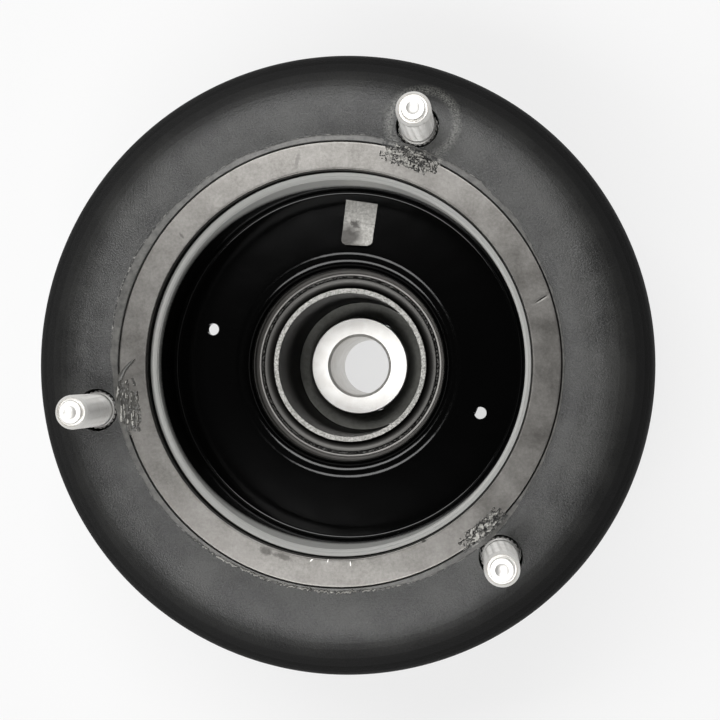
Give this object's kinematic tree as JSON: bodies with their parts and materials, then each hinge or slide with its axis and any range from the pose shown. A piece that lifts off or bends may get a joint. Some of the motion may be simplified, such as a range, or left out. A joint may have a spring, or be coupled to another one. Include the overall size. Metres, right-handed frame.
{
  "type": "strut mount",
  "caption": "Top mount for a suspension strut: rubber-covered stud plate with a deep pressed bowl, a bonded bush below it and a bump stop cup",
  "frame": {"origin": "on the mount's axis, level with its lowest face, the rim of the bump stop cup", "axes": "+Z is the mount's axis, the way the studs point; +X is to the right and +Y up in the picture"},
  "size_m": [0.185, 0.185, 0.1443],
  "materials": {
    "bare_steel": "satin, lightly marked",
    "zinc_plate": "bright zinc plate",
    "black_paint": "gloss black",
    "moulded_rubber": "matte, grainy, with torn flash",
    "tube_steel": "dull, with a rough cut edge",
    "label_paper": "matte, creased"
  },
  "bodies": {
    "root": {"stud_plate": "bare_steel", "stud_1": "zinc_plate", "stud_2": "zinc_plate", "stud_3": "zinc_plate", "bowl": "black_paint", "rubber_flange": "moulded_rubber", "bush_tube": "tube_steel", "bush_rubber": "moulded_rubber", "bush_sleeve": "zinc_plate", "bump_stop_cup": "black_paint", "label": "label_paper"}
  },
  "joints": []
}
